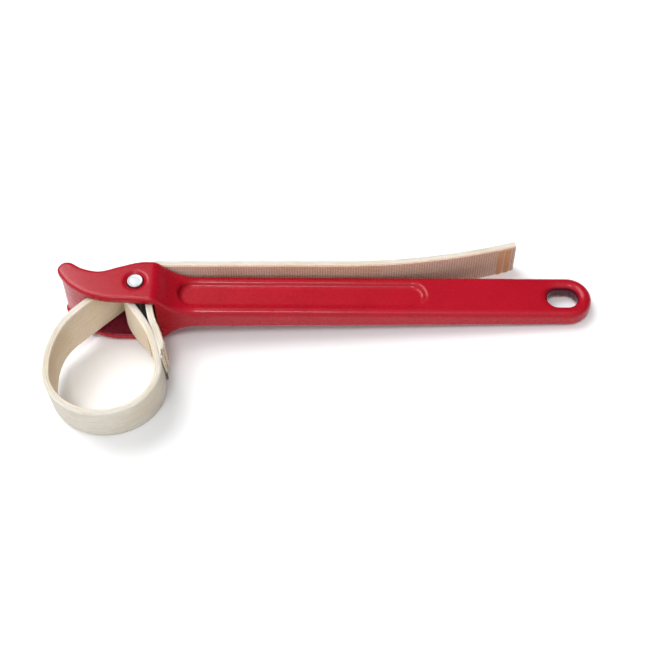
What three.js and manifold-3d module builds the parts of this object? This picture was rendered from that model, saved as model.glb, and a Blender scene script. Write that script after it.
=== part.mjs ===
// Strap wrench for pipe: a one-piece cast handle whose forked head holds a pin, and a woven strap.
// The strap's folded end is sewn into an eye that turns on the pin. From there the strap makes the
// loop that grips the pipe, comes back through the head and lies along the shank as a free tail.
// Millimetres. Origin: the pin's axis on the head's underside. +X runs along the handle to its
// hang hole, +Y away from the loop, +Z along the pin.
import * as THREE from 'three';
import { mergeVertices } from 'three/addons/utils/BufferGeometryUtils.js';
import Module from 'manifold-3d';

const wasm = await Module();
wasm.setup();

// ---- Driving dimensions -------------------------------------------------------------------------
const handleEndX = 389.8;          // pin axis to the end of the handle
const noseLength = 67.3;           // pin axis to the tip of the head's nose
const plateThickness = 7.2;
const handleWidth = 41.5;
const shankHalfRoot = 11.3;        // half thickness of the shank at the head
const shankHalfEnd = 8.4;          // half thickness of the shank at the hang hole
const edgeRound = 4.5;             // rounding of the shank's edges
const plateRound = 2.0;            // rounding of the plates' outer edges
const webInset = 2.0;              // the nose's web stands in from the plates' edges
const pinDiameter = 13.6;
const pinChamfer = 0.8;
const counterboreDiameter = 18;
const counterboreDepth = 1.2;
const hangHoleFromEnd = 24.8;      // centre of the hang hole to the end of the handle
const hangHoleLength = 26;
const hangHoleWidth = 19;
const hangHoleFlare = 3;
const slopeStartX = 14;            // the head's faces slope down to the shank from here
const slopeEndX = 52;
const slopeBrow = 0.24;            // how soon the slope turns down, as a share of its length
const slopeFoot = 0.34;            // and where its long easy foot begins
const pocketStartX = 35;           // shallow recess in both faces of the shank
const pocketEndX = 246;
const pocketWidth = 23;
const pocketDepth = 3.0;
const strapWidth = 44.45;
const strapSideGap = 0.875;        // strap's edges to the insides of the head's plates
const strapThickness = 5.6;
const strapGap = 0.3;              // between strap layers, and round the pin
const eyeRoomGap = 2.3;            // the eye to the head's inner walls
const mouthFlare = 6;              // the head's mouth widens by this towards the loop
const shankGap = 1.0;              // strap to the side of the shank, and to the head's inner walls
const loopRadiusX = 46.2;            // the loop is a little oval; to the middle of the strap
const loopRadiusY = 40.5;
const loopCentre = new THREE.Vector2(-22.6, -75.9);
const loopJoinAngle = 12;          // degrees round the loop where the neck runs into it
const mergePoint = new THREE.Vector2(15.8, -39.5);    // where the eye's two legs come together
const mergeHeading = 30;           // degrees from -Y towards +X
const eyeHeading = 6;              // heading of the legs as they leave the pin
const loopDroop = 5.6;             // degrees: the loop sags from the head to the bench
const loopLean = 10;               // degrees: its upper edge leans outwards
const leanReach = 35;              // distance from the head over which the lean grows
const droopStartY = -20;
const diagonalAngle = 45;          // the strap's slant through the head
const diagonalGap = 2.2;           // strap to the outside of the eye
const mouthBend = 60;              // radius where the loop's left side turns into the head
const heelBend = 45;               // radius where the strap turns on to the shank
const tailStartX = 58;
const tailSegments = 6;
const tailSegmentLength = 44.7;
const hingeGap = 1.0;              // between tail segments
const tailStraightEndX = 175;      // the tail curls away from the shank after this
const tailCurlRadius = 545;
const threadDiameter = 1.3;
const tailSeamWidth = 3.8;         // the zigzag rows at the strap's end are this wide
const stitchPitch = 5.2;
const stitchMargin = 4;            // from the strap's edge to the first stitch
const eyeSeamInset = 5;            // along the neck from the merge point to the first seam row
const eyeSeamPitch = 8;
const eyeSeamRows = 3;
const tailSeamInset = 7;           // from the strap's end
const tailSeamPitch = 6.6;
const tailSeamRows = 2;

// ---- Derived places -----------------------------------------------------------------------------
const rad = THREE.MathUtils.degToRad;
const headHeight = strapWidth + 2 * (strapSideGap + plateThickness);
const midZ = headHeight / 2;
const hangHoleX = handleEndX - hangHoleFromEnd;
const headGapHalf = midZ - plateThickness;
const halfWidth = handleWidth / 2;
const halfStrap = strapThickness / 2;
const pinRadius = pinDiameter / 2;
const eyeMidRadius = pinRadius + strapGap + halfStrap;
const eyeOuterRadius = eyeMidRadius + halfStrap;
const tailY = halfWidth + shankGap + halfStrap;

// ---- Plan-view paths: arrays of Vector2 -----------------------------------------------------------
const heading = (degrees) => new THREE.Vector2(Math.sin(rad(degrees)), -Math.cos(rad(degrees)));
const leftOf = (v) => new THREE.Vector2(-v.y, v.x);

function arcPath(centre, radius, fromDegrees, toDegrees, steps) {
  const points = [];
  for (let i = 0; i <= steps; i++) {
    const a = rad(fromDegrees + (toDegrees - fromDegrees) * i / steps);
    points.push(new THREE.Vector2(centre.x + radius * Math.cos(a), centre.y + radius * Math.sin(a)));
  }
  return points;
}

// A smooth curve that leaves a along headingA and arrives at b along headingB.
function easePath(a, headingA, b, headingB, steps) {
  const reach = a.distanceTo(b) / 3;
  const c1 = a.clone().addScaledVector(headingA, reach);
  const c2 = b.clone().addScaledVector(headingB, -reach);
  return new THREE.CubicBezierCurve(a, c1, c2, b).getPoints(steps);
}

function offsetPath(points, distance) {
  return points.map((p, i) => {
    const before = points[Math.max(i - 1, 0)];
    const after = points[Math.min(i + 1, points.length - 1)];
    return p.clone().addScaledVector(leftOf(after.clone().sub(before).normalize()), distance);
  });
}

// Joins paths end to end; each starts where the one before it ends.
const joinPaths = (...paths) => paths.flatMap((path, i) => (i ? path.slice(1) : path));

// ---- Solids ---------------------------------------------------------------------------------------
function closedOutline(points) {
  return new THREE.Shape(points);
}

function slab(shape, zLow, zHigh, bevel = 0, bevelSegments = 1, curveSegments = 12) {
  const geometry = new THREE.ExtrudeGeometry(shape, {
    depth: zHigh - zLow - 2 * bevel, curveSegments, steps: 1, bevelEnabled: bevel > 0,
    bevelThickness: bevel, bevelSize: bevel, bevelOffset: -bevel, bevelSegments,
  });
  return geometry.translate(0, 0, zLow + bevel);
}

function toManifold(geometry) {
  const bare = geometry.clone();
  bare.deleteAttribute('normal');
  bare.deleteAttribute('uv');
  const merged = mergeVertices(bare, 1e-3);
  return new wasm.Manifold(new wasm.Mesh({
    numProp: 3,
    vertProperties: new Float32Array(merged.attributes.position.array),
    triVerts: new Uint32Array(merged.index.array),
  }));
}

function fromManifold(solid) {
  const mesh = solid.getMesh();
  const geometry = new THREE.BufferGeometry();
  geometry.setAttribute('position', new THREE.BufferAttribute(mesh.vertProperties, 3));
  geometry.setIndex(new THREE.BufferAttribute(mesh.triVerts, 1));
  return geometry;
}

function moveVertices(geometry, change) {
  const position = geometry.attributes.position;
  const point = new THREE.Vector3();
  for (let i = 0; i < position.count; i++) {
    change(point.fromBufferAttribute(position, i));
    position.setXYZ(i, point.x, point.y, point.z);
  }
  return geometry;
}

// How the strap settles: the loop sags to the bench, and its upper edge leans outwards.
function settle(p) {
  const past = Math.max(0, droopStartY - p.y);
  const share = Math.min(past / leanReach, 1);
  p.y -= (p.z - midZ) * Math.sin(rad(loopLean)) * share * share * (3 - 2 * share);
  p.z -= past * Math.tan(rad(loopDroop));
}

function ribbonOutline(path, halfThickness) {
  return closedOutline([...offsetPath(path, halfThickness), ...offsetPath(path, -halfThickness).reverse()]);
}

// A length of strap standing on edge, its middle following the path: four corners at each point of
// the path, joined by flat strips.
function ribbon(path) {
  const sides = [offsetPath(path, -halfStrap), offsetPath(path, halfStrap)];
  const positions = [];
  path.forEach((_, i) => {
    const [right, left] = sides.map((side) => side[i]);
    const corners = [[right, -1], [left, -1], [left, 1], [right, 1]];
    for (const [p, edge] of corners) {
      positions.push(p.x, p.y, midZ + edge * strapWidth / 2);
    }
  });
  const faces = [0, 2, 1, 0, 3, 2];
  for (let i = 0; i < path.length - 1; i++) {
    for (let k = 0; k < 4; k++) {
      const a = 4 * i + k;
      const b = 4 * i + (k + 1) % 4;
      faces.push(a, b, b + 4, a, b + 4, a + 4);
    }
  }
  const end = 4 * (path.length - 1);
  faces.push(end, end + 1, end + 2, end, end + 2, end + 3);
  const geometry = new THREE.BufferGeometry();
  geometry.setAttribute('position', new THREE.Float32BufferAttribute(positions, 3));
  geometry.setIndex(faces);
  return geometry;
}

// ---- The strap's route ----------------------------------------------------------------------------
// The eye: a turn round the pin, and two legs that come together at the merge point.
const mergeDirection = heading(mergeHeading);
const layerOffset = halfStrap + strapGap / 2;
const leftMerge = mergePoint.clone().addScaledVector(leftOf(mergeDirection), -layerOffset);
const rightMerge = mergePoint.clone().addScaledVector(leftOf(mergeDirection), layerOffset);
const pinWrap = arcPath(new THREE.Vector2(), eyeMidRadius, eyeHeading, eyeHeading + 180, 18);
const rightLeg = easePath(pinWrap[0], heading(eyeHeading), rightMerge, mergeDirection, 10);
const leftLeg = easePath(pinWrap.at(-1), heading(eyeHeading), leftMerge, mergeDirection, 10);

// The neck runs from the merge point into the loop, whose far half is a round bend.
// Angles round the loop are those of its parametric ellipse, from +X.
function loopPath(fromDegrees, toDegrees, steps) {
  return arcPath(new THREE.Vector2(), 1, fromDegrees, toDegrees, steps)
    .map((p) => new THREE.Vector2(loopRadiusX * p.x, loopRadiusY * p.y).add(loopCentre));
}
const loopJoin = loopPath(loopJoinAngle, loopJoinAngle, 1)[0];
const joinDirection = new THREE.Vector2(loopRadiusX * Math.sin(rad(loopJoinAngle)),
  -loopRadiusY * Math.cos(rad(loopJoinAngle))).normalize();
const eyeEndAngle = 6;
const bendStartAngle = -24;
const bendEndAngle = -156;
const sewnNeck = easePath(leftMerge, mergeDirection, loopJoin, joinDirection, 10);
const neck = joinPaths(sewnNeck, loopPath(loopJoinAngle, eyeEndAngle, 2));
const foldedEnd = offsetPath(sewnNeck, strapThickness + strapGap);
const eyePath = joinPaths(foldedEnd.toReversed(), rightLeg.toReversed().slice(0, -1), pinWrap, leftLeg, neck);

// Left side of the loop, the slant through the head, and the turn on to the shank.
const diagonal = new THREE.Vector2(Math.cos(rad(diagonalAngle)), Math.sin(rad(diagonalAngle)));
const diagonalOffset = eyeOuterRadius + diagonalGap + halfStrap;
const diagonalFoot = leftOf(diagonal).multiplyScalar(diagonalOffset);
const diagonalAtX = (x) => diagonalFoot.clone().addScaledVector(diagonal, (x - diagonalFoot.x) / diagonal.x);
const diagonalAtY = (y) => diagonalFoot.clone().addScaledVector(diagonal, (y - diagonalFoot.y) / diagonal.y);
const loopLeftX = loopCentre.x - loopRadiusX;
const mouthCorner = diagonalAtX(loopLeftX);
const mouthReach = mouthBend * Math.tan(rad(90 - diagonalAngle) / 2);
const mouthCentre = new THREE.Vector2(loopLeftX + mouthBend, mouthCorner.y - mouthReach);
const heelCorner = diagonalAtY(tailY);
const heelReach = heelBend * Math.tan(rad(diagonalAngle) / 2);
const heelCentre = new THREE.Vector2(heelCorner.x + heelReach, tailY - heelBend);
const mouthSplitAngle = 155;       // degrees round the mouth bend where the loop's side ends
const mouthEndAngle = 90 + diagonalAngle;

const paths = {
  strap_eye: eyePath,
  strap_side_right: loopPath(eyeEndAngle, bendStartAngle, 8),
  strap_bend: loopPath(bendStartAngle, bendEndAngle, 28),
  strap_side_left: joinPaths(
    loopPath(bendEndAngle, -180, 6),
    arcPath(mouthCentre, mouthBend, 180, mouthSplitAngle, 7)),
  strap_mouth: arcPath(mouthCentre, mouthBend, mouthSplitAngle, mouthEndAngle, 7),
  strap_throat: arcPath(heelCentre, heelBend, mouthEndAngle, 90, 9),
  strap_run: [new THREE.Vector2(heelCentre.x, tailY), new THREE.Vector2(tailStartX, tailY)],
};
paths.strap_throat.unshift(paths.strap_mouth.at(-1));

// The tail: straight beside the shank, then curling away from it.
function tailPoint(x) {
  const run = Math.max(0, x - tailStraightEndX);
  return new THREE.Vector2(x, tailY + tailCurlRadius - Math.sqrt(tailCurlRadius ** 2 - run ** 2));
}
const tailEndX = tailStartX + tailSegments * tailSegmentLength;
for (let i = 0; i < tailSegments; i++) {
  const start = tailStartX + i * tailSegmentLength;
  const steps = start + tailSegmentLength > tailStraightEndX ? 4 : 1;
  const xs = Array.from({ length: steps + 1 }, (_, k) => start + k * tailSegmentLength / steps);
  paths[`strap_tail_${i + 1}`] = xs.map(tailPoint);
}

// Shortens a path at its two ends, to leave the gap between neighbouring lengths of strap.
function trimmed(path, startGap, endGap) {
  const points = path.map((p) => p.clone());
  const first = points[1].clone().sub(points[0]).normalize();
  const last = points.at(-2).clone().sub(points.at(-1)).normalize();
  points[0].addScaledVector(first, startGap);
  points.at(-1).addScaledVector(last, endGap);
  return points;
}

// ---- Stitching --------------------------------------------------------------------------------------
// One row of stitching across the strap: a line of thread on each face, joined through the strap at
// every stitch. Local frame: X across the layers, Y along the strap, Z along the row.
const stitchLow = midZ - strapWidth / 2 + stitchMargin;
const stitchCount = Math.floor((strapWidth - 2 * stitchMargin) / stitchPitch);
const stitchHeights = Array.from({ length: stitchCount + 1 }, (_, i) => stitchLow + i * stitchPitch);

function block(sizeX, sizeY, sizeZ, x, z) {
  return toManifold(new THREE.BoxGeometry(sizeX, sizeY, sizeZ).translate(x, 0, z));
}

function stitchRow(layersThickness, width) {
  const faceX = layersThickness / 2 + strapGap + threadDiameter / 2;
  const length = stitchCount * stitchPitch + threadDiameter;
  const middle = (stitchHeights[0] + stitchHeights[stitchCount]) / 2;
  const rails = [-faceX, faceX].map((x) => block(threadDiameter, width, length, x, middle));
  const rungs = stitchHeights.map((z) => block(2 * faceX, threadDiameter, threadDiameter, 0, z));
  return [...rails, ...rungs].reduce((row, piece) => row.add(piece));
}

// The holes that the row's thread passes through.
function stitchHoles(layersThickness) {
  const size = threadDiameter + 2 * strapGap;
  return stitchHeights.map((z) => block(layersThickness + 2 * strapGap, size, size, 0, z))
    .reduce((all, hole) => all.add(hole));
}

// Where a row stands: a point on the strap and the direction of the strap's length there.
function stand(solid, point, direction) {
  const degrees = THREE.MathUtils.radToDeg(Math.atan2(direction.y, direction.x)) - 90;
  return solid.rotate([0, 0, degrees]).translate([point.x, point.y, 0]);
}

function alongPath(path, distance) {
  let left = distance;
  for (let i = 1; i < path.length; i++) {
    const step = path[i].distanceTo(path[i - 1]);
    if (left <= step || i === path.length - 1) {
      const direction = path[i].clone().sub(path[i - 1]).normalize();
      return { point: path[i - 1].clone().addScaledVector(direction, left), direction };
    }
    left -= step;
  }
}

const eyeLayers = 2 * strapThickness + strapGap;
const tailEnd = paths[`strap_tail_${tailSegments}`].toReversed();
const seams = { strap_eye: [], [`strap_tail_${tailSegments}`]: [] };
for (let i = 0; i < eyeSeamRows; i++) {
  const place = alongPath(offsetPath(neck, layerOffset), eyeSeamInset + i * eyeSeamPitch);
  seams.strap_eye.push({ name: `eye_seam_row_${i + 1}`, layers: eyeLayers, width: threadDiameter, ...place });
}
for (let i = 0; i < tailSeamRows; i++) {
  const place = alongPath(tailEnd, tailSeamInset + i * tailSeamPitch);
  seams[`strap_tail_${tailSegments}`].push(
    { name: `tail_stitch_row_${i + 1}`, layers: strapThickness, width: tailSeamWidth, ...place });
}

// ---- The handle casting -----------------------------------------------------------------------------
// Plan outline of the head's plates: a beak-like nose, a hollow back, and a full cheek round the pin.
// Each point is given in shares of the nose's length and of the handle's half width.
const plateCurve = [
  [0.030, 0.985], [-0.208, 0.765], [-0.461, 0.520], [-0.684, 0.670], [-0.840, 0.964], [-0.944, 0.925],
  [-1, 0.627], [-0.951, 0.270], [-0.813, -0.231], [-0.609, -0.646], [-0.357, -0.887], [-0.104, -0.930],
];
function plateOutline() {
  const shape = new THREE.Shape();
  shape.moveTo(slopeStartX, halfWidth);
  shape.lineTo(slopeStartX - plateRound, halfWidth);
  const curve = plateCurve.map(([x, y]) => new THREE.Vector2(x * noseLength, y * halfWidth));
  shape.splineThru([...curve, new THREE.Vector2(slopeStartX - 2 * plateRound, -halfWidth)]);
  shape.lineTo(slopeStartX, -halfWidth);
  return shape;
}

const plateCurveSteps = 3;

function headPlate(zLow) {
  return toManifold(slab(plateOutline(), zLow, zLow + plateThickness, plateRound, 2, plateCurveSteps));
}

// The slope from the head's faces down to the shank, seen from the side and drawn in X and Z.
function rootBlock() {
  const half = shankHalfAt(slopeEndX);
  const steepX = slopeStartX + slopeBrow * (slopeEndX - slopeStartX);
  const easeX = slopeStartX + slopeFoot * (slopeEndX - slopeStartX);
  const shape = new THREE.Shape();
  shape.moveTo(0, midZ);
  shape.lineTo(slopeStartX, midZ);
  shape.bezierCurveTo(steepX, midZ, easeX, half, slopeEndX, half);
  shape.lineTo(slopeEndX, -half);
  shape.bezierCurveTo(easeX, -half, steepX, -midZ, slopeStartX, -midZ);
  shape.lineTo(0, -midZ);
  const geometry = slab(shape, -halfWidth, halfWidth, edgeRound / 2, 2, 10);
  return toManifold(geometry.rotateX(Math.PI / 2).translate(0, 0, midZ));
}

const shankStartX = 20;
const shankTaper = (shankHalfRoot - shankHalfEnd) / (hangHoleX - pocketStartX);
function shankHalfAt(x) {
  return shankHalfRoot - shankTaper * (x - pocketStartX);
}

function shank() {
  const endCentre = handleEndX - halfWidth;
  const shape = new THREE.Shape();
  shape.moveTo(shankStartX, -halfWidth);
  shape.lineTo(endCentre, -halfWidth);
  shape.absarc(endCentre, 0, halfWidth, -Math.PI / 2, Math.PI / 2);
  shape.lineTo(shankStartX, halfWidth);
  const geometry = slab(shape, -shankHalfRoot, shankHalfRoot, edgeRound, 3, 14);
  return toManifold(moveVertices(geometry, (p) => {
    p.z = midZ + p.z * shankHalfAt(p.x) / shankHalfRoot;
  }));
}

function slotOutline(centreX, length, width) {
  const reach = (length - width) / 2;
  const shape = new THREE.Shape();
  shape.absarc(centreX + reach, 0, width / 2, -Math.PI / 2, Math.PI / 2);
  shape.absarc(centreX - reach, 0, width / 2, Math.PI / 2, 3 * Math.PI / 2);
  return shape;
}

function hangHole() {
  const half = shankHalfAt(hangHoleX);
  const through = slab(slotOutline(hangHoleX, hangHoleLength, hangHoleWidth),
    midZ - 2 * half, midZ + 2 * half, 0, 1, 10);
  const flare = slab(
    slotOutline(hangHoleX, hangHoleLength + 2 * hangHoleFlare, hangHoleWidth + 2 * hangHoleFlare),
    midZ + half - hangHoleFlare, midZ + 2 * half, hangHoleFlare, 1, 10);
  const lowFlare = flare.clone().translate(0, 0, -midZ).rotateX(Math.PI).translate(0, 0, midZ);
  return toManifold(through).add(toManifold(flare)).add(toManifold(lowFlare));
}

// The recess's floor follows the taper of the shank's face.
function pocket(side) {
  const length = pocketEndX - pocketStartX;
  const outline = slotOutline((pocketStartX + pocketEndX) / 2, length, pocketWidth);
  const geometry = slab(outline, 0, 2 * pocketDepth + shankHalfRoot, pocketDepth, 2, 8);
  return toManifold(moveVertices(geometry, (p) => {
    p.z = midZ + side * (p.z + shankHalfAt(p.x) - pocketDepth);
    p.y *= side;
  }));
}

// The web that closes the nose between the plates, outside the strap's slant.
function noseWeb() {
  const edge = closedOutline(offsetPath(plateOutline().getPoints(plateCurveSteps), webInset));
  const outer = toManifold(slab(edge, plateThickness / 2, headHeight - plateThickness / 2));
  const face = leftOf(diagonal).multiplyScalar(diagonalOffset + halfStrap + shankGap);
  const reach = noseLength * 2;
  const from = face.clone().addScaledVector(diagonal, -reach);
  const to = face.clone().addScaledVector(diagonal, reach);
  const away = leftOf(diagonal).multiplyScalar(reach);
  const keepSide = closedOutline([from, to, to.clone().add(away), from.clone().add(away)]);
  return outer.intersect(toManifold(slab(keepSide, 0, headHeight)));
}

// The space inside the head: room for the eye to turn, and for the strap to slide past it.
function throatSpace() {
  const low = midZ - headGapHalf;
  const high = midZ + headGapHalf;
  const eyeRoom = eyeOuterRadius + eyeRoomGap;
  const round = slab(new THREE.Shape(arcPath(new THREE.Vector2(), eyeRoom, 0, 360, 40).slice(0, -1)),
    low, high);
  const nearSide = closedOutline([
    new THREE.Vector2(-noseLength, -2 * halfWidth), new THREE.Vector2(eyeRoom + mouthFlare, -2 * halfWidth),
    new THREE.Vector2(eyeRoom, -halfWidth / 2), new THREE.Vector2(eyeRoom, 0),
    new THREE.Vector2(-noseLength, 0)]);
  const beside = joinPaths([paths.strap_mouth.at(-1)], paths.strap_throat,
    [new THREE.Vector2(2 * tailStartX, tailY)]);
  const slot = slab(ribbonOutline(beside, halfStrap + shankGap), low, high);
  return toManifold(round).add(toManifold(slab(nearSide, low, high))).add(toManifold(slot));
}

function pinHoles() {
  const bore = new THREE.CylinderGeometry(pinRadius + strapGap, pinRadius + strapGap, 2 * headHeight, 32)
    .rotateX(Math.PI / 2);
  const boreSolid = toManifold(bore);
  const rim = () => new THREE.CylinderGeometry(counterboreDiameter / 2, counterboreDiameter / 2,
    2 * counterboreDepth, 32).rotateX(Math.PI / 2);
  return boreSolid.add(toManifold(rim())).add(toManifold(rim().translate(0, 0, headHeight)));
}

function handleCasting() {
  const head = rootBlock().subtract(throatSpace())
    .add(noseWeb())
    .add(headPlate(0))
    .add(headPlate(headHeight - plateThickness));
  const whole = head.add(shank().subtract(throatSpace()));
  return whole.subtract(pocket(1)).subtract(pocket(-1)).subtract(hangHole()).subtract(pinHoles());
}

function strapPin() {
  const r = pinRadius;
  const profile = [[0, 0], [r - pinChamfer, 0], [r, pinChamfer], [r, headHeight - pinChamfer],
    [r - pinChamfer, headHeight], [0, headHeight]].map(([x, y]) => new THREE.Vector2(x, y));
  return new THREE.LatheGeometry(profile, 32).rotateX(Math.PI / 2);
}

// ---- Assembly ---------------------------------------------------------------------------------------
const redPaint = { color: 0xb31c33, roughness: 0.28, metalness: 0.0 };
const brightSteel = { color: 0xcfd2d4, roughness: 0.35, metalness: 1.0 };
const webbing = { color: 0xe1d7c3, roughness: 0.9, metalness: 0.0 };
const thread = { color: 0xc08a58, roughness: 0.8, metalness: 0.0 };

const wrench = new THREE.Group();
wrench.name = 'strap_wrench';

function addPart(name, geometry, look) {
  geometry.computeVertexNormals();
  const mesh = new THREE.Mesh(geometry, new THREE.MeshStandardMaterial(look));
  mesh.name = name;
  wrench.add(mesh);
}

addPart('handle_casting', fromManifold(handleCasting()), redPaint);
addPart('strap_pin', strapPin(), brightSteel);
for (const [name, path] of Object.entries(paths)) {
  const gap = (name.startsWith('strap_tail_') ? hingeGap : strapGap) / 2;
  const rows = seams[name] ?? [];
  const cut = rows.map((row) => stand(stitchHoles(row.layers), row.point, row.direction))
    .reduce((left, holes) => left.subtract(holes), toManifold(ribbon(trimmed(path, gap, gap))));
  addPart(name, moveVertices(fromManifold(cut), settle), webbing);
  for (const row of rows) {
    const solid = stand(stitchRow(row.layers, row.width), row.point, row.direction);
    addPart(row.name, moveVertices(fromManifold(solid), settle), thread);
  }
}

export default wrench;
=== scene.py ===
"""Strap wrench: the finished surfaces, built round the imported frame. Metres, in the row's frame.

Shapes are worked out in millimetres, as in the CAD source, and scaled once when a mesh is made.
"""

import math

import bpy
import numpy as np
import openvdb
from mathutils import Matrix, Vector


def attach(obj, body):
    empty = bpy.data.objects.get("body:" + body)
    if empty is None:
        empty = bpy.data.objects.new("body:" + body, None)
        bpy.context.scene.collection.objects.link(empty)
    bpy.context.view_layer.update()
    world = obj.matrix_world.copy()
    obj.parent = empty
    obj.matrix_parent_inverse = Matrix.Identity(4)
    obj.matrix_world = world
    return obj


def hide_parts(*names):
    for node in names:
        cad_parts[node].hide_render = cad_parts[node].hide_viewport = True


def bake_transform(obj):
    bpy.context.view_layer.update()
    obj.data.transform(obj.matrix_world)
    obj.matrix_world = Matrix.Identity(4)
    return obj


MM = 0.001

# ---- Sizes of the frame, in millimetres ---------------------------------------------------------
HEAD_HEIGHT = 60.6
PLATE = 7.2
MID_Z = HEAD_HEIGHT / 2
HALF_WIDTH = 20.75
NOSE_LENGTH = 67.3
HANDLE_END = 389.8
EDGE_ROUND, EDGE_GROWTH = 2.4, 3.0          # at the head, and how much is added along the shank
EDGE_GROWS_FROM, EDGE_GROWS_OVER = 8, 40
SHANK_HALF_ROOT, SHANK_HALF_END = 11.3, 8.4
TAPER_FROM, TAPER_TO = 35.0, 365.0
SLOPE_START, SLOPE_END = 14.0, 52.0
SLOPE_BROW, SLOPE_FOOT = 0.24, 0.34         # shares of the slope that its curve's handles reach
SIDE_FROM, SIDE_PAST_END = -90, 20          # the side outline goes well past the casting's ends
POCKET_START, POCKET_END, POCKET_HALF_WIDTH, POCKET_DEPTH = 35.0, 246.0, 11.5, 3.0
POCKET_ROUND, POCKET_BLEND = 2.6, 3.6
HANG_X, HANG_LENGTH, HANG_WIDTH = 365.0, 26.0, 19.0
HANG_BLEND = 7.0
PIN_RADIUS = 6.8
PIN_RIM, PIN_DOME = 0.9, 0.25
BORE_GAP, BORE_BLEND = 0.45, 0.8
COUNTERBORE_RADIUS, COUNTERBORE_DEPTH = 9.0, 1.2
COUNTERBORE_BLEND = 1.8
STRAP_WIDTH, STRAP_THICK = 44.45, 5.6
SELVEDGE_ROUND = 1.1
LAYER_GAP = 0.3
SHANK_GAP = 1.0
LOOP_RADII = np.array([46.2, 40.5])
LOOP_CENTRE = np.array([-22.6, -75.9])
LOOP_JOIN_ANGLE = 12.0
MERGE_POINT = np.array([15.8, -39.5])
MERGE_HEADING, EYE_HEADING = 30.0, 6.0
EYE_END_ANGLE = 6.0
DROOP_DEGREES, DROOP_START = 5.6, -20.0
LEAN_DEGREES, LEAN_REACH = 10.0, 35.0
DIAGONAL_GAP = 2.2
MOUTH_BEND, HEEL_BEND = 60.0, 45.0
TAIL_START, TAIL_SEGMENT, TAIL_COUNT = 58.0, 44.7, 6
SKIVED_LENGTH, SKIVED_AWAY = 15.0, 0.88     # the folded end is pared thinner towards its tip
TIP_SUNK = 0.55                             # how far the stitches pull its tip into the layer below
RED_BOUNCE_AT = 480.0                      # along the strap, where painted red light bounced from the handle starts on the warm face
TAIL_STRAIGHT_END, TAIL_CURL = 175.0, 545.0

WEB_INSET, WEB_ROUND = 2.0, 1.5
EYE_ROOM_GAP = 2.3
WALL_INSET, WALL_DRAFT = 0.2, 0.075
HOLLOW_ROUND, HOLLOW_BLEND = 2.0, 1.8
# The head's plates in plan, in shares of the nose's length and of the handle's half width.
PLATE_CURVE = np.array([
    (0.030, 0.985), (-0.208, 0.765), (-0.461, 0.520), (-0.684, 0.670), (-0.840, 0.964), (-0.944, 0.925),
    (-1, 0.627), (-0.951, 0.270), (-0.813, -0.231), (-0.609, -0.646), (-0.357, -0.887), (-0.104, -0.930)])

CASTING_LOW, CASTING_HIGH, VOXEL = (-71, -25, -3), (393, 25, 64), 0.9
STRAP_STEP = 1.8                            # between sections along the strap
FACE_COLUMNS = 25                           # points up each face of a section
RIB_HEIGHT, RIB_PITCH = 0.10, 5.2
WARP_PITCH, WEFT_PITCH, PLY_PITCH = 1.9, 2.2, 1.7

HALF_STRAP = STRAP_THICK / 2
SELVEDGE_AT = STRAP_WIDTH - 2 * SELVEDGE_ROUND + 1.7    # across the strap, where the first face ends
EYE_MID_RADIUS = PIN_RADIUS + LAYER_GAP + HALF_STRAP
EYE_OUTER_RADIUS = EYE_MID_RADIUS + HALF_STRAP
TAIL_Y = HALF_WIDTH + SHANK_GAP + HALF_STRAP
REST_TILT = math.atan2(MID_Z - SHANK_HALF_END, TAPER_TO + 10 - SLOPE_START)


# ---- Plan-view paths ----------------------------------------------------------------------------
def heading(degrees):
    """A unit vector, measured from -Y towards +X."""
    a = math.radians(degrees)
    return np.array([math.sin(a), -math.cos(a)])


def left_of(v):
    return np.array([-v[1], v[0]])


def arc(centre, radius, start, stop, steps):
    a = np.radians(np.linspace(start, stop, steps + 1))
    return np.stack([centre[0] + radius * np.cos(a), centre[1] + radius * np.sin(a)], 1)


def ease(a, heading_a, b, heading_b, steps):
    """A smooth curve that leaves a along heading_a and arrives at b along heading_b."""
    reach = np.linalg.norm(b - a) / 3
    c1, c2 = a + heading_a * reach, b - heading_b * reach
    t = np.linspace(0, 1, steps + 1)[:, None]
    return (1 - t) ** 3 * a + 3 * (1 - t) ** 2 * t * c1 + 3 * (1 - t) * t * t * c2 + t ** 3 * b


def directions(path):
    d = np.gradient(path, axis=0)
    return d / np.linalg.norm(d, axis=1, keepdims=True)


def offset(path, distance):
    d = directions(path)
    return path + np.stack([-d[:, 1], d[:, 0]], 1) * np.reshape(distance, (-1, 1))


def join(*parts):
    return np.concatenate([parts[0]] + [p[1:] for p in parts[1:]])


def resample(path, spacing):
    steps = np.linalg.norm(np.diff(path, axis=0), axis=1)
    at = np.concatenate([[0], np.cumsum(steps)])
    count = max(2, int(round(at[-1] / spacing)) + 1)
    s = np.linspace(0, at[-1], count)
    return np.stack([np.interp(s, at, path[:, k]) for k in range(path.shape[1])], 1)


def smoothstep(x):
    x = np.clip(x, 0, 1)
    return x * x * (3 - 2 * x)


# ---- Signed distances for the casting -----------------------------------------------------------
def catmull_rom(points, steps):
    p = np.array(points, float)
    ext = np.concatenate([[2 * p[0] - p[1]], p, [2 * p[-1] - p[-2]]])
    t = np.linspace(0, 1, steps, endpoint=False)[:, None]
    out = []
    for i in range(1, len(ext) - 2):
        a, b, c, d = ext[i - 1], ext[i], ext[i + 1], ext[i + 2]
        out.append(0.5 * ((2 * b) + (c - a) * t + (2 * a - 5 * b + 4 * c - d) * t ** 2
                          + (3 * b - a - 3 * c + d) * t ** 3))
    return np.concatenate(out + [p[-1:]])


def bezier(p0, p1, p2, p3, steps):
    t = np.linspace(0, 1, steps + 1)[:, None]
    p0, p1, p2, p3 = (np.array(p, float) for p in (p0, p1, p2, p3))
    return (1 - t) ** 3 * p0 + 3 * (1 - t) ** 2 * t * p1 + 3 * (1 - t) * t * t * p2 + t ** 3 * p3


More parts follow.
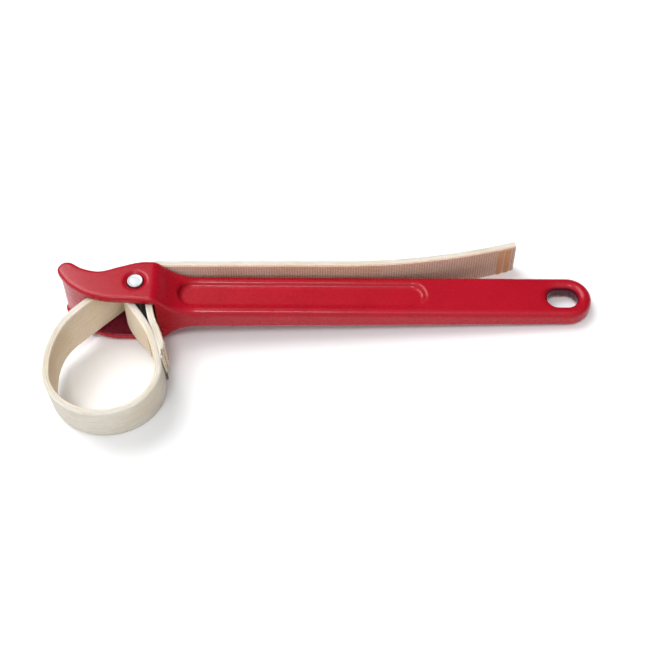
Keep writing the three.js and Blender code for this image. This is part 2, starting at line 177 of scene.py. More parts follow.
def polygon_distance(px, py, points):
    """Signed distance to a closed outline, negative inside."""
    best = np.full(px.shape, 1e9)
    inside = np.zeros(px.shape, bool)
    for a, b in zip(points, np.roll(points, -1, axis=0)):
        e = b - a
        length2 = max(float(e @ e), 1e-12)
        wx, wy = px - a[0], py - a[1]
        t = np.clip((wx * e[0] + wy * e[1]) / length2, 0, 1)
        best = np.minimum(best, (wx - e[0] * t) ** 2 + (wy - e[1] * t) ** 2)
        crosses = (a[1] > py) != (b[1] > py)
        if a[1] != b[1]:
            inside ^= crosses & (px < (b[0] - a[0]) * (py - a[1]) / (b[1] - a[1]) + a[0])
    return np.where(inside, -1, 1) * np.sqrt(best)


def rounded_intersection(a, b, r):
    """Where two distances meet, the outside edge is rounded to radius r."""
    u, v = a + r, b + r
    return np.sqrt(np.maximum(u, 0) ** 2 + np.maximum(v, 0) ** 2) + np.minimum(np.maximum(u, v), 0) - r


def blend_union(a, b, k):
    h = np.clip(0.5 + 0.5 * (b - a) / k, 0, 1)
    return b * (1 - h) + a * h - k * h * (1 - h)


def blend_cut(a, cutter, k):
    return -blend_union(-a, cutter, k)


def stadium(x, y, centre, length, width):
    reach = (length - width) / 2
    return np.hypot(np.maximum(np.abs(x - centre) - reach, 0), y) - width / 2


def plan_outline():
    """The casting from above: beak-like nose, hollow back, full cheek round the pin, straight shank."""
    curve = catmull_rom([(30, HALF_WIDTH), (14, HALF_WIDTH), *PLATE_CURVE * (NOSE_LENGTH, HALF_WIDTH),
                         (12, -HALF_WIDTH), (30, -HALF_WIDTH)], 8)
    end_x = HANDLE_END - HALF_WIDTH
    end = arc((end_x, 0), HALF_WIDTH, -90, 90, 24)
    return np.concatenate([curve, end])


def side_outline():
    """Head, slope and tapering shank from the side, in X and Z about the middle plane."""
    half = shank_half(SLOPE_END)
    steep = SLOPE_START + SLOPE_BROW * (SLOPE_END - SLOPE_START)
    easy = SLOPE_START + SLOPE_FOOT * (SLOPE_END - SLOPE_START)
    top = bezier((SLOPE_START, MID_Z), (steep, MID_Z), (easy, half), (SLOPE_END, half), 24)
    end = HANDLE_END + SIDE_PAST_END
    top = np.concatenate([[(SIDE_FROM, MID_Z)], top, [(end, shank_half(end))]])
    return np.concatenate([top, top[::-1] * (1, -1)])


def shank_half(x):
    share = (x - TAPER_FROM) / (TAPER_TO - TAPER_FROM)
    return SHANK_HALF_ROOT + (SHANK_HALF_END - SHANK_HALF_ROOT) * share


def throat_route():
    """Middle of the strap from the mouth of the head to the side of the shank."""
    diagonal = np.array([math.sqrt(0.5), math.sqrt(0.5)])
    foot = left_of(diagonal) * (EYE_OUTER_RADIUS + DIAGONAL_GAP + HALF_STRAP)
    left_x = LOOP_CENTRE[0] - LOOP_RADII[0]
    mouth_corner_y = foot[1] + (left_x - foot[0])
    mouth_centre = np.array([left_x + MOUTH_BEND, mouth_corner_y - MOUTH_BEND * math.tan(math.pi / 8)])
    heel_corner_x = foot[0] + (TAIL_Y - foot[1])
    heel_centre = np.array([heel_corner_x + HEEL_BEND * math.tan(math.pi / 8), TAIL_Y - HEEL_BEND])
    return diagonal, foot, mouth_centre, heel_centre


def casting_distance(x, y, z):
    """The whole casting as one field: rounded outside, hollowed between the plates, then cut."""
    diagonal, foot, _, heel_centre = throat_route()
    flat_x, flat_y = x[:, :, :1], y[:, :, :1]
    plan = polygon_distance(flat_x, flat_y, plan_outline())
    zm = z - MID_Z
    side = polygon_distance(x[:, :1, :], zm[:, :1, :], side_outline())
    edge = EDGE_ROUND + EDGE_GROWTH * smoothstep((flat_x - EDGE_GROWS_FROM) / EDGE_GROWS_OVER)
    body = rounded_intersection(np.broadcast_to(plan, x.shape), np.broadcast_to(side, x.shape), edge)

    # Between the plates only the nose web and the wall at the root are left standing.
    across = left_of(diagonal)
    web_face = foot + across * (HALF_STRAP + SHANK_GAP)
    past_strap = -((flat_x - web_face[0]) * across[0] + (flat_y - web_face[1]) * across[1])
    web = rounded_intersection(plan + WEB_INSET, past_strap, WEB_ROUND)
    eye_room = EYE_OUTER_RADIUS + EYE_ROOM_GAP
    wall = eye_room - np.hypot(flat_x, flat_y)
    drafted = eye_room + WALL_INSET - WALL_DRAFT * flat_y - flat_x
    wall = np.maximum(wall, np.where(flat_y < 0, drafted, -99.0))
    turn = np.hypot(flat_x - heel_centre[0], flat_y - heel_centre[1]) - HEEL_BEND
    beside = np.where(flat_x > heel_centre[0], flat_y - TAIL_Y, turn) + HALF_STRAP + SHANK_GAP
    wall = np.maximum(wall, np.where(flat_y > 0, beside, -99.0))
    wall = np.maximum(wall, -flat_x)
    standing = np.minimum(web, wall)
    between = np.abs(zm) - (MID_Z - PLATE)
    hollow = rounded_intersection(np.broadcast_to(-standing, x.shape), between, HOLLOW_ROUND)
    body = blend_cut(body, hollow, HOLLOW_BLEND)

    half = shank_half(x)
    centre = (POCKET_START + POCKET_END) / 2
    pocket = stadium(x, y, centre, POCKET_END - POCKET_START, 2 * POCKET_HALF_WIDTH)
    pocket = rounded_intersection(pocket, half - POCKET_DEPTH - np.abs(zm), POCKET_ROUND)
    body = blend_cut(body, pocket, POCKET_BLEND)
    hang = stadium(x, y, HANG_X, HANG_LENGTH, HANG_WIDTH)
    body = blend_cut(body, hang, HANG_BLEND)
    body = blend_cut(body, np.hypot(x, y) - PIN_RADIUS - BORE_GAP, BORE_BLEND)
    dish = np.maximum(np.hypot(x, y) - COUNTERBORE_RADIUS, MID_Z - COUNTERBORE_DEPTH - np.abs(zm))
    return blend_cut(body, dish, COUNTERBORE_BLEND)


def mesh_from_distance(name, low, high, spacing, distance):
    axes = [np.arange(a, b, spacing) for a, b in zip(low, high)]
    x, y, z = np.meshgrid(*axes, indexing="ij")
    field = np.clip(distance(x, y, z), -4 * spacing, 4 * spacing).astype(np.float32)
    grid = openvdb.FloatGrid(4 * spacing)
    grid.copyFromArray(field)
    points, quads = grid.convertToQuads(isovalue=0.0)
    points = np.array(points, float) * spacing + np.array(low)
    mesh = bpy.data.meshes.new(name)
    mesh.from_pydata((points * MM).tolist(), [], np.array(quads)[:, ::-1].tolist())
    return finish_mesh(mesh)


# ---- Meshes -------------------------------------------------------------------------------------
def finish_mesh(mesh):
    mesh.validate()
    mesh.shade_smooth()
    mesh.update()
    return mesh


def add_object(name, mesh, material):
    obj = bpy.data.objects.new(name, mesh)
    bpy.context.scene.collection.objects.link(obj)
    mesh.materials.append(material)
    return obj


# ---- Materials ----------------------------------------------------------------------------------
class Shader:
    """A material's node tree, with short ways to add and join nodes."""

    def __init__(self, name):
        self.material = bpy.data.materials.new(name)
        self.material.use_nodes = True
        self.tree = self.material.node_tree
        self.surface = self.tree.nodes["Principled BSDF"]

    def node(self, kind, inputs=None, **settings):
        made = self.tree.nodes.new(kind)
        for key, value in settings.items():
            setattr(made, key, value)
        for key, value in (inputs or {}).items():
            self.feed(made.inputs[key], value)
        return made

    def feed(self, socket, value):
        if isinstance(value, bpy.types.NodeSocket):
            self.tree.links.new(value, socket)
        else:
            socket.default_value = value

    def math(self, operation, a, b=0.0, c=0.0):
        return self.node("ShaderNodeMath", {0: a, 1: b, 2: c}, operation=operation).outputs[0]

    def noise(self, scale, detail=3.0, rough=0.5, vector=None):
        made = self.node("ShaderNodeTexNoise", {"Scale": scale, "Detail": detail, "Roughness": rough})
        self.feed(made.inputs["Vector"], vector or self.position())
        return made.outputs["Fac"]

    def streaks(self, uv, along, across):
        """Long thin marks, spread over the whole range from 0 to 1."""
        drawn = self.node("ShaderNodeMapping", {0: uv, 3: (along, across, 1.0)}).outputs[0]
        spread = {"Value": self.noise(1.0, 3.0, 0.6, drawn), "From Min": 0.34, "From Max": 0.66}
        return self.node("ShaderNodeMapRange", spread).outputs[0]

    def distance_from(self, x, y, z):
        """Metres from a place given in millimetres."""
        place = Vector((x, y, z)) * MM
        return self.node("ShaderNodeVectorMath", {0: self.position(), 1: place},
                         operation="DISTANCE").outputs["Value"]

    def within(self, distance, outside, inside):
        """1 up to `inside` millimetres, fading to 0 at `outside`."""
        reach = {"Value": distance, "From Min": outside * MM, "From Max": inside * MM}
        return self.node("ShaderNodeMapRange", reach).outputs[0]

    def position(self):
        return self.node("ShaderNodeTexCoord").outputs["Object"]

    def ramp(self, factor, *stops):
        made = self.node("ShaderNodeValToRGB", {"Fac": factor})
        elements = made.color_ramp.elements
        while len(elements) < len(stops):
            elements.new(0.5)
        for element, (place, colour) in zip(elements, stops):
            element.position = place
            element.color = (*colour, 1.0)
        return made.outputs["Color"]

    def mix(self, factor, a, b, blend="MIX"):
        made = self.node("ShaderNodeMix", data_type="RGBA", blend_type=blend)
        self.feed(made.inputs["Factor"], factor)
        for key, value in ((6, a), (7, b)):
            self.feed(made.inputs[key], value if isinstance(value, bpy.types.NodeSocket) else (*value, 1.0))
        return made.outputs[2]

    def bump(self, height, strength, distance, normal=None):
        made = self.node("ShaderNodeBump", {"Height": height, "Strength": strength, "Distance": distance})
        if normal is not None:
            self.feed(made.inputs["Normal"], normal)
        return made.outputs["Normal"]

    def set(self, **values):
        for key, value in values.items():
            self.feed(self.surface.inputs[key.replace("_", " ")], value)


def red_paint():
    """Glossy enamel over a cast skin: faint orange peel, soft waviness, and painted shade deep in the head's
    throat and in the hang hole.
    """
    s = Shader("red_enamel")
    broad = s.noise(38.0, 3.0)
    fine = s.noise(900.0, 2.0)
    enamel = s.mix(broad, (0.33, 0.0022, 0.010), (0.43, 0.0042, 0.018))
    height = s.node("ShaderNodeSeparateXYZ", {0: s.position()}).outputs[2]
    # Painted shade: the lower plate's face deep in the throat, where the upper plate shades it, is darkened.
    off_floor = s.math("ABSOLUTE", s.math("SUBTRACT", height, (PLATE + 1.2) * MM))
    in_throat = s.within(s.distance_from(-14, -12, PLATE + 1.2), 29, 23)
    throat = s.math("MULTIPLY", s.within(off_floor, 2.6, 1.0), in_throat)
    # Painted shade: the inner wall of the hang hole is darkened too.
    off_middle = s.math("ABSOLUTE", s.math("SUBTRACT", height, MID_Z * MM))
    in_hole = s.within(s.distance_from(HANG_X, 0, MID_Z), 18, 15)
    bore = s.math("MULTIPLY", s.within(off_middle, 6.6, 4.6), in_hole)
    painted_shade = s.math("MAXIMUM", throat, bore)
    # The painted shade's colour, a dark purple-red.
    colour = s.mix(painted_shade, enamel, (0.085, 0.003, 0.016))
    peel = s.bump(fine, 0.05, 0.0002)
    waves = s.bump(s.noise(70.0, 2.0), 0.10, 0.0009, peel)
    roughness = s.node("ShaderNodeMapRange", {"Value": s.noise(260.0, 3.0), "To Min": 0.22, "To Max": 0.34})
    s.set(Base_Color=colour, Roughness=roughness.outputs[0], Normal=waves)
    s.surface.inputs["Specular IOR Level"].default_value = 0.18
    s.surface.inputs["Coat Weight"].default_value = 0.18
    s.surface.inputs["Coat Roughness"].default_value = 0.09
    return s.material


def pin_steel():
    """Bright turned steel: fine rings on the ends and light handling marks."""
    s = Shader("pin_steel")
    place = s.node("ShaderNodeSeparateXYZ", {0: s.position()})
    radius = s.math("SQRT", s.math("ADD", s.math("POWER", place.outputs[0], 2.0),
                                   s.math("POWER", place.outputs[1], 2.0)))
    rings = s.math("SINE", s.math("MULTIPLY", radius, 22000.0))
    marks = s.noise(700.0, 4.0)
    colour = s.mix(marks, (0.40, 0.41, 0.43), (0.54, 0.55, 0.57))
    roughness = s.node("ShaderNodeMapRange", {"Value": marks, "To Min": 0.36, "To Max": 0.52})
    height = s.math("ADD", s.math("MULTIPLY", rings, 0.3), s.noise(300.0, 3.0))
    s.set(Base_Color=colour, Roughness=roughness.outputs[0], Normal=s.bump(height, 0.15, 0.0002))
    s.surface.inputs["Metallic"].default_value = 1.0
    return s.material


def webbing():
    """Undyed woven webbing: warp yarns along the strap, crossed by weft. One face is painted lighter and
    warmer as painted warm light, and towards the tail it takes painted red light bounced from the handle.
    """
    s = Shader("webbing")
    uv = s.node("ShaderNodeUVMap", uv_map="strap").outputs["UV"]
    place = s.node("ShaderNodeSeparateXYZ", {0: uv})
    along, across = place.outputs[0], place.outputs[1]
    warp = s.math("MULTIPLY", across, 1 / WARP_PITCH)
    weft = s.math("MULTIPLY", along, 1 / WEFT_PITCH)
    crown = s.math("ABSOLUTE", s.math("SINE", s.math("MULTIPLY", warp, math.pi)))
    float_over = s.math("SINE", s.math("MULTIPLY", weft, 2 * math.pi))
    woven = s.math("MULTIPLY", crown, s.math("MULTIPLY_ADD", float_over, 0.38, 0.62))
    off_rim = s.math("ABSOLUTE", s.math("SUBTRACT", across, SELVEDGE_AT + HALF_STRAP - SELVEDGE_ROUND))
    rim = s.node("ShaderNodeMapRange", {"Value": off_rim, "From Min": 4.2, "From Max": 3.0}).outputs[0]
    ply = s.math("SINE", s.math("MULTIPLY", across, 2 * math.pi / PLY_PITCH))
    plies = s.math("MULTIPLY_ADD", ply, 0.25, 0.75)
    height = s.math("MULTIPLY_ADD", rim, s.math("SUBTRACT", plies, woven), woven)
    fuzz = s.noise(2600.0, 3.0)
    streak = s.streaks(uv, 0.06, 0.9)
    fibre = s.streaks(uv, 0.22, 3.1)
    # Painted warm light: one face of the strap is painted lighter and warmer than the other.
    warm_lit_face = s.node("ShaderNodeMapRange", {"Value": across, "From Min": SELVEDGE_AT + 1,
                                         "From Max": SELVEDGE_AT - 1})
    # Painted reflection: towards the tail, the warm face takes the pink of red light bounced off the handle
    # beside it.
    tail = s.node("ShaderNodeMapRange", {"Value": along, "From Min": RED_BOUNCE_AT - 40.0,
                                         "From Max": RED_BOUNCE_AT + 40.0})
    red_bounce = s.math("MULTIPLY", warm_lit_face.outputs[0], tail.outputs[0])
    light = s.mix(warm_lit_face.outputs[0], (0.82, 0.78, 0.70), (0.95, 0.85, 0.69))
    dark = s.mix(warm_lit_face.outputs[0], (0.58, 0.53, 0.44), (0.78, 0.65, 0.47))
    unbounced = s.mix(s.math("MULTIPLY_ADD", fibre, 0.35, s.math("MULTIPLY", streak, 0.65)), dark, light)
    # Painted red bounce light: pink tones laid over the unbounced colour.
    base = s.mix(red_bounce, unbounced, s.mix(fibre, (0.76, 0.44, 0.31), (0.98, 0.80, 0.68)))
    gaps = s.math("MULTIPLY", s.math("SUBTRACT", 1.0, height), s.math("MULTIPLY_ADD", red_bounce, 0.75, 0.20))
    shaded = s.mix(gaps, base, (0.40, 0.25, 0.17))
    stain = s.ramp(s.noise(26.0, 4.0), (0.45, (1, 1, 1)), (0.75, (0.92, 0.86, 0.76)))
    colour = s.mix(1.0, shaded, stain, "MULTIPLY")
    total = s.math("MULTIPLY_ADD", fuzz, 0.35, s.math("MULTIPLY_ADD", streak, 0.5, height))
    s.set(Base_Color=colour, Normal=s.bump(total, 0.55, 0.0006))
    s.surface.inputs["Roughness"].default_value = 0.88
    s.surface.inputs["Sheen Weight"].default_value = 0.15
    s.surface.inputs["Sheen Roughness"].default_value = 0.5
    s.surface.inputs["Specular IOR Level"].default_value = 0.2
    return s.material


def stitch_thread(name, light, dark):
    """Twisted sewing thread."""
    s = Shader(name)
    twist = s.noise(2400.0, 2.0)
    s.set(Base_Color=s.mix(twist, dark, light), Normal=s.bump(twist, 0.5, 0.0003))
    s.surface.inputs["Roughness"].default_value = 0.7
    s.surface.inputs["Sheen Weight"].default_value = 0.2
    return s.material


def studio_floor():
    s = Shader("floor_white")
    s.surface.inputs["Base Color"].default_value = (0.93, 0.93, 0.93, 1)
    s.surface.inputs["Roughness"].default_value = 0.9
    s.surface.inputs["Specular IOR Level"].default_value = 0.1
    return s.material


# ---- Strap --------------------------------------------------------------------------------------
def settle(points):
    """Sags the loop towards the bench and leans its upper edge outwards, from the head forwards."""
    out = points.copy()
    past = np.maximum(0, DROOP_START - points[:, 1])
    share = smoothstep(past / LEAN_REACH)
    out[:, 1] -= (points[:, 2] - MID_Z) * math.sin(math.radians(LEAN_DEGREES)) * share
    out[:, 2] -= past * math.tan(math.radians(DROOP_DEGREES))
    return out


def strap_profile():
    """Cross-section round the strap: (across the thickness, up the width), with rounded selvedges."""
    half_w, r = STRAP_WIDTH / 2, SELVEDGE_ROUND
    columns = np.linspace(-half_w + r, half_w - r, FACE_COLUMNS)
    ribs = RIB_HEIGHT * np.cos(columns * 2 * math.pi / RIB_PITCH)
    right = [(HALF_STRAP + rib, c) for c, rib in zip(columns, ribs)]
    corner = np.radians([22.5, 45, 67.5])
    upper = [(HALF_STRAP - r + r * math.cos(a), half_w - r + r * math.sin(a)) for a in corner]
    top = [(k, half_w) for k in (HALF_STRAP - r, 0.0, r - HALF_STRAP)]
    left_up = [(-n, c) for n, c in upper[::-1]]
    left = [(-HALF_STRAP - rib, c) for c, rib in zip(columns[::-1], ribs[::-1])]
    lower_left = [(-n, -c) for n, c in upper]
    low = [(k, -half_w) for k in (r - HALF_STRAP, 0.0, HALF_STRAP - r)]
    lower_right = [(n, -c) for n, c in upper[::-1]]
    return np.array(right + upper + top + left_up + left + lower_left + low + lower_right)


def skived(share):
    """How thick the pared end is, as a share of the strap, from its tip (0) to its full part (1)."""
    return 1 - SKIVED_AWAY * (1 - smoothstep(share))


def strap_mesh(name, path, start_s=0.0, taper=0.0):
    """Webbing along a plan-view path; the UV map 'strap' holds (along, across) in millimetres.

    Over the first `taper` millimetres the outer face is pared down, as on a skived, sewn end.
    """
    path = resample(path, STRAP_STEP)
    d = directions(path)
    normal = np.stack([d[:, 1], -d[:, 0]], 1)
    steps = np.linalg.norm(np.diff(path, axis=0), axis=1)
    s = start_s + np.concatenate([[0], np.cumsum(steps)])
    profile = strap_profile()
    n, m = len(path), len(profile)
    across, up = profile[:, 0], profile[:, 1]
    points = np.empty((n, m, 3))
    pared = skived((s - start_s) / taper) if taper else np.ones(n)
    outer = (across[None, :] + HALF_STRAP) * pared[:, None] - HALF_STRAP
    reach = np.where(across[None, :] > 0, outer, across)
    points[:, :, 0] = path[:, None, 0] + normal[:, None, 0] * reach
    points[:, :, 1] = path[:, None, 1] + normal[:, None, 1] * reach
    points[:, :, 2] = MID_Z + up
    points = settle(points.reshape(-1, 3))
    quads = []
    for i in range(n - 1):
        for j in range(m):
            k = (j + 1) % m
            quads.append((i * m + j, i * m + k, (i + 1) * m + k, (i + 1) * m + j))
    caps = [tuple(range(m))[::-1], tuple((n - 1) * m + j for j in range(m))]
    mesh = bpy.data.meshes.new(name)
    mesh.from_pydata((points * MM).tolist(), [], quads + caps)
    ring = np.concatenate([[0], np.cumsum(np.linalg.norm(np.diff(profile, axis=0), axis=1))])
    ring_end = ring[-1] + np.linalg.norm(profile[0] - profile[-1])
    uv = mesh.uv_layers.new(name="strap")
    loops = np.zeros((len(mesh.loops), 2))
    at = 0
    for i in range(n - 1):
        for j in range(m):
            nxt = ring[j + 1] if j + 1 < m else ring_end
            loops[at:at + 4] = ((s[i], ring[j]), (s[i], nxt), (s[i + 1], nxt), (s[i + 1], ring[j]))
            at += 4
    for end, cap in zip((s[0], s[-1]), caps):
        for v in cap:
            loops[at] = (end + profile[v % m][0], profile[v % m][1])
            at += 1
    uv.data.foreach_set("uv", loops.ravel())
    mesh.validate()
    mesh.shade_smooth()
    sharpen_caps(mesh, len(quads))
    mesh.update()
    return mesh


def sharpen_caps(mesh, first_cap):
    """The cut ends of a length of strap meet its faces at a crisp edge."""
    edges = {key: i for i, key in enumerate(mesh.edge_keys)}
    sharp = mesh.attributes.new("sharp_edge", "BOOLEAN", "EDGE")
    for polygon in mesh.polygons[first_cap:]:
        for key in polygon.edge_keys:
            sharp.data[edges[tuple(sorted(key))]].value = True


def loop_arc(start, stop, steps):
    """Part of the loop's ellipse, by its parametric angle."""
    return arc((0, 0), 1, start, stop, steps) * LOOP_RADII + LOOP_CENTRE


def eye_route():
    """From the tip of the folded end, round the pin, and down the neck to the loop's right side."""
    merge_dir = heading(MERGE_HEADING)
    layer = HALF_STRAP + LAYER_GAP / 2
    left_merge = MERGE_POINT - left_of(merge_dir) * layer
    right_merge = MERGE_POINT + left_of(merge_dir) * layer
    wrap = arc((0, 0), EYE_MID_RADIUS, EYE_HEADING, EYE_HEADING + 180, 40)
    right_leg = ease(wrap[0], heading(EYE_HEADING), right_merge, merge_dir, 30)
    left_leg = ease(wrap[-1], heading(EYE_HEADING), left_merge, merge_dir, 30)
    last_turn = loop_arc(LOOP_JOIN_ANGLE, EYE_END_ANGLE, 6)
    join_dir = (last_turn[1] - last_turn[0]) / np.linalg.norm(last_turn[1] - last_turn[0])
    sewn = ease(left_merge, merge_dir, last_turn[0], join_dir, 24)
    neck = join(sewn, last_turn)
    share = np.linspace(0, 1, len(sewn))
    pressed = LAYER_GAP * (1 - smoothstep(3 * share)) - TIP_SUNK * smoothstep(2 * share - 1)
    folded = offset(sewn, STRAP_THICK + pressed)
    return join(folded[::-1], right_leg[::-1], wrap, left_leg, neck), sewn


def tail_y(x):
    run = np.maximum(0, x - TAIL_STRAIGHT_END)
    return TAIL_Y + TAIL_CURL - np.sqrt(TAIL_CURL ** 2 - run ** 2)


def tail_route(start, stop):
    x = np.linspace(start, stop, 40)
    return np.stack([x, tail_y(x)], 1)


# ---- Build --------------------------------------------------------------------------------------
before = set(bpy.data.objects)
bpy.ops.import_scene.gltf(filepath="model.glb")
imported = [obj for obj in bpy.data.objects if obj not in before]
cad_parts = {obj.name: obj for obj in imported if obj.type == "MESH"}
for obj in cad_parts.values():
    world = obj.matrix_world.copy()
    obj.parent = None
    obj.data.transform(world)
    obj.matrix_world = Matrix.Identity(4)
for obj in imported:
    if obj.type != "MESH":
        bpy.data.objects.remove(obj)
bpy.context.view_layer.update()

CAMERA_FOCAL = 77.54
camera = bpy.data.objects.new("camera", bpy.data.cameras.new("camera"))
camera.data.lens = CAMERA_FOCAL
camera.location = (0.16074, -0.71821, 1.00231)
camera.rotation_euler = (math.radians(35.5), 0, 0)
bpy.context.scene.collection.objects.link(camera)
bpy.context.scene.camera = camera

paint = red_paint()
steel = pin_steel()
cloth = webbing()
seam_thread = stitch_thread("seam_thread", (0.66, 0.55, 0.38), (0.45, 0.34, 0.22))
tail_thread = stitch_thread("tail_thread", (0.74, 0.36, 0.15), (0.50, 0.20, 0.07))

casting = add_object("casting", mesh_from_distance(
    "casting", CASTING_LOW, CASTING_HIGH, VOXEL, casting_distance), paint)
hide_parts("handle_casting")
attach(casting, "handle")


def lathe(name, profile, segments):
    points, quads = [], []
    for r, z in profile:
        for k in range(segments):
            a = 2 * math.pi * k / segments
            points.append((r * math.cos(a) * MM, r * math.sin(a) * MM, z * MM))
    for i in range(len(profile) - 1):
        for k in range(segments):
            n = (k + 1) % segments
            quads.append((i * segments + k, i * segments + n, (i + 1) * segments + n, (i + 1) * segments + k))
    quads.append(tuple(range(segments))[::-1])
    quads.append(tuple((len(profile) - 1) * segments + k for k in range(segments)))
    mesh = bpy.data.meshes.new(name)
    mesh.from_pydata(points, [], quads)
    return finish_mesh(mesh)


def pin_profile():
    """Half of the pin's outline: a faintly domed end, a small rounded rim, and a straight body."""
    r, rim = PIN_RADIUS, PIN_RIM
    corner = [(r - rim + rim * math.sin(math.radians(a)), rim - rim * math.cos(math.radians(a)))
              for a in range(0, 91, 15)]
    end = [(r * share, -PIN_DOME * (1 - share ** 2) + PIN_DOME) for share in (0.02, 0.3, 0.6, 0.8)]
    low = end + corner
    return low + [(x, HEAD_HEIGHT - z) for x, z in low[::-1]]


pin = add_object("pin", lathe("pin", pin_profile(), 64), steel)
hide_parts("strap_pin")
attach(pin, "handle")

_, _, mouth_centre, heel_centre = throat_route()
eye_path, sewn_path = eye_route()
SPLIT_ANGLE = 161
loop_path = join(loop_arc(EYE_END_ANGLE, -180, 150),
                 arc(mouth_centre, MOUTH_BEND, 180, SPLIT_ANGLE, 16))
throat_path = join(arc(mouth_centre, MOUTH_BEND, SPLIT_ANGLE, 135, 20),
                   arc(heel_centre, HEEL_BEND, 135, 90, 30))


def strap_piece(name, path, start_s, *nodes, taper=0.0):
    piece = add_object(name, strap_mesh(name, path, start_s, taper), cloth)
    if nodes:
        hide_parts(*nodes)
    return piece


def path_length(path):
    return float(np.linalg.norm(np.diff(path, axis=0), axis=1).sum())


at = 0.0
eye = strap_piece("strap_eye_cloth", eye_path, at, "strap_eye", taper=SKIVED_LENGTH)
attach(eye, "eye")
at += path_length(eye_path)
loop = strap_piece("strap_loop_cloth", loop_path, at, "strap_side_right", "strap_bend", "strap_side_left")
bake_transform(loop)
at += path_length(loop_path)
throat = strap_piece("strap_throat_cloth", throat_path, at, "strap_mouth", "strap_throat")
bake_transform(throat)
at += path_length(throat_path)

tail_middles = [TAIL_START + TAIL_SEGMENT * (k + 0.5) for k in range(TAIL_COUNT)]
run_path = tail_route(heel_centre[0], tail_middles[0])
run = strap_piece("strap_run_cloth", run_path, at, "strap_run", "strap_tail_1")
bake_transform(run)
at += path_length(run_path)
for k in range(1, TAIL_COUNT):
    path = tail_route(tail_middles[k - 1], tail_middles[k])
    piece = strap_piece(f"strap_tail_cloth_{k}", path, at, f"strap_tail_{k + 1}")
    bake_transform(piece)
    at += path_length(path)
tail_end = TAIL_START + TAIL_COUNT * TAIL_SEGMENT
last = strap_piece("strap_tail_cloth_6", tail_route(tail_middles[-1], tail_end), at)
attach(last, "tail_6")

# ---- Stitching ----------------------------------------------------------------------------------
STITCH_MARGIN, STITCH_PITCH, THREAD_RADIUS = 4.0, 5.2, 0.6
STITCH_SUNK, STITCH_RISE = 0.9, 1.15
SEAM_FIRST, SEAM_SPACING = 5, 8
ZIGZAG_MARGIN, ZIGZAG_WIDTH, ZIGZAG_PITCH = 2.2, 3.8, 1.15
TAIL_ROW_FIRST, TAIL_ROW_SPACING = 7, 6.6


def tube_mesh(name, lines, radius, sides=8):
    """Round thread along each of several lines of points, with closed ends."""
    points, faces = [], []
    for line in lines:
        line = np.array(line, float)
        forward = np.gradient(line, axis=0)
        forward /= np.linalg.norm(forward, axis=1, keepdims=True)
        helper = np.array([0.31, 0.52, 0.8])
        first = len(points)
        for centre, d in zip(line, forward):
            u = np.cross(d, helper)
            u /= np.linalg.norm(u)
            v = np.cross(d, u)
            for k in range(sides):
                a = 2 * math.pi * k / sides
                points.append(centre + (u * math.cos(a) + v * math.sin(a)) * radius)
        for i in range(len(line) - 1):
            for k in range(sides):
                a, b = first + i * sides + k, first + i * sides + (k + 1) % sides
                faces.append((a, b, b + sides, a + sides))
        faces.append(tuple(first + k for k in range(sides))[::-1])
        faces.append(tuple(first + (len(line) - 1) * sides + k for k in range(sides)))
    mesh = bpy.data.meshes.new(name)
    mesh.from_pydata((settle(np.array(points)) * MM).tolist(), [], faces)
    return finish_mesh(mesh)


def along(path, distance):
    steps = np.linalg.norm(np.diff(path, axis=0), axis=1)
    total = np.concatenate([[0], np.cumsum(steps)])
    point = np.array([np.interp(distance, total, path[:, k]) for k in (0, 1)])
    ahead = np.array([np.interp(distance + 1, total, path[:, k]) for k in (0, 1)])
    return point, (ahead - point) / np.linalg.norm(ahead - point)


def straight_row(point, direction, right_face, left_face):
    """Lockstitches up the strap on both faces, each one dipping into the webbing at its ends."""
    normal = left_of(direction)
    count = int((STRAP_WIDTH - 2 * STITCH_MARGIN) / STITCH_PITCH)
    low = MID_Z - STRAP_WIDTH / 2 + STITCH_MARGIN
    lines = []
    for side, face in ((-1, right_face), (1, left_face)):
        for i in range(count):
            t = np.linspace(0, 1, 9)
            out = face - STITCH_SUNK + STITCH_RISE * np.sin(t * math.pi) ** 0.6
            flat = point + normal * (side * out)[:, None]
            height = low + STITCH_PITCH * (i + 0.06 + 0.88 * t)
            lines.append(np.column_stack([flat, height]))
    return lines


def zigzag_row(point, direction, half_layers, width, pitch):
    """Dense zigzag stitching up the strap: a bar of thread crossing back and forth on both faces."""
    normal = left_of(direction)
    low = MID_Z - STRAP_WIDTH / 2 + ZIGZAG_MARGIN
    count = int((STRAP_WIDTH - 2 * ZIGZAG_MARGIN) / pitch)
    lines = []
    for side in (-1, 1):
        for i in range(count):
            t = np.linspace(-1, 1, 7)
            out = half_layers - 0.35 + 0.55 * np.sqrt(1 - (t * 0.97) ** 2)
            way = 1 if i % 2 else -1
            flat = point + normal * (side * out)[:, None] + direction * (way * t * width / 2)[:, None]
            lines.append(np.column_stack([flat, low + pitch * (i + 0.5 + 0.4 * t)]))
    return lines


def stitch_piece(name, lines, material, body, *nodes):
    piece = add_object(name, tube_mesh(name, lines, THREAD_RADIUS), material)
    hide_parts(*nodes)
    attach(piece, body)


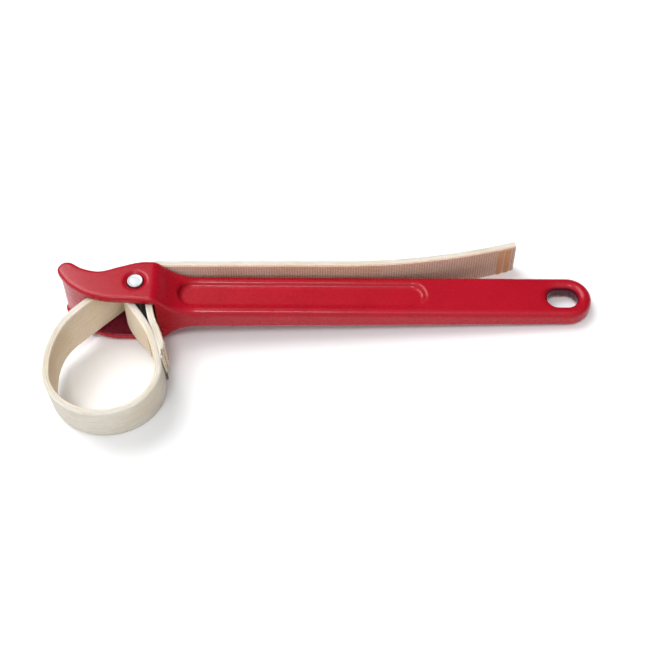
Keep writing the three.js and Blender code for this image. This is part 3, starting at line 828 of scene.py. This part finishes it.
seam_line = offset(sewn_path, HALF_STRAP + LAYER_GAP / 2)
for k in range(3):
    spot, way = along(seam_line, SEAM_FIRST + SEAM_SPACING * k)
    from_tip = path_length(seam_line) - SEAM_FIRST - SEAM_SPACING * k
    pared_layer = STRAP_THICK * skived(from_tip / SKIVED_LENGTH)
    lines = straight_row(spot, way, STRAP_THICK + LAYER_GAP / 2, pared_layer + LAYER_GAP / 2)
    stitch_piece(f"eye_stitches_{k + 1}", lines, seam_thread, "eye", f"eye_seam_row_{k + 1}")
tail_line = tail_route(TAIL_START + (TAIL_COUNT - 1) * TAIL_SEGMENT, tail_end)[::-1]
for k in range(2):
    spot, way = along(tail_line, TAIL_ROW_FIRST + TAIL_ROW_SPACING * k)
    lines = zigzag_row(spot, way, HALF_STRAP, ZIGZAG_WIDTH, ZIGZAG_PITCH)
    stitch_piece(f"tail_stitches_{k + 1}", lines, tail_thread, "tail_6", f"tail_stitch_row_{k + 1}")

# ---- Floor and light ----------------------------------------------------------------------------
floor_mesh = bpy.data.meshes.new("floor")
floor_mesh.from_pydata([(-4, -4, 0), (4, -4, 0), (4, 4, 0), (-4, 4, 0)], [], [(0, 1, 2, 3)])
floor = add_object("floor", floor_mesh, studio_floor())
floor.location = (SLOPE_START * MM, 0, -0.0002)
floor.rotation_euler = (0, -REST_TILT, 0)


def softbox(name, location, target, size, power):
    light = bpy.data.objects.new(name, bpy.data.lights.new(name, "AREA"))
    light.data.shape = "RECTANGLE"
    light.data.size, light.data.size_y = size
    light.data.energy = power
    light.location = location
    light.rotation_euler = (Vector(target) - Vector(location)).to_track_quat("-Z", "Y").to_euler()
    bpy.context.scene.collection.objects.link(light)


def soft_sun(name, direction, strength, spread):
    """A distant light that is `spread` degrees across, shining from `direction`."""
    light = bpy.data.objects.new(name, bpy.data.lights.new(name, "SUN"))
    light.data.energy = strength
    light.data.angle = math.radians(spread)
    light.rotation_euler = Vector(direction).to_track_quat("Z", "Y").to_euler()
    bpy.context.scene.collection.objects.link(light)


soft_sun("key", (-0.50, 0.42, 1.0), 2.05, 40)
soft_sun("edge", (-0.10, -0.38, 0.91), 0.8, 14)
softbox("left_card", (-0.35, 0.60, 0.86), (-0.04, 0, 0.05), (0.22, 0.22), 0.95)


def studio_world(towards, bright, dim):
    """A white tent: brightest in one direction and dim on the opposite side."""
    world = bpy.data.worlds.new("studio")
    world.use_nodes = True
    tree = world.node_tree
    coordinates = tree.nodes.new("ShaderNodeTexCoord")
    facing = tree.nodes.new("ShaderNodeVectorMath")
    facing.operation = "DOT_PRODUCT"
    facing.inputs[1].default_value = Vector(towards).normalized()
    level = tree.nodes.new("ShaderNodeMapRange")
    level.inputs["To Min"].default_value = dim
    level.inputs["To Max"].default_value = bright
    tree.links.new(coordinates.outputs["Generated"], facing.inputs[0])
    tree.links.new(facing.outputs["Value"], level.inputs["Value"])
    background = tree.nodes["Background"]
    background.inputs["Color"].default_value = (0.94, 0.97, 1.0, 1)
    tree.links.new(level.outputs[0], background.inputs["Strength"])
    bpy.context.scene.world = world


studio_world((-0.25, -0.70, 0.65), 1.0, 0.08)
bpy.context.scene.view_settings.view_transform = "Standard"

bpy.context.view_layer.update()
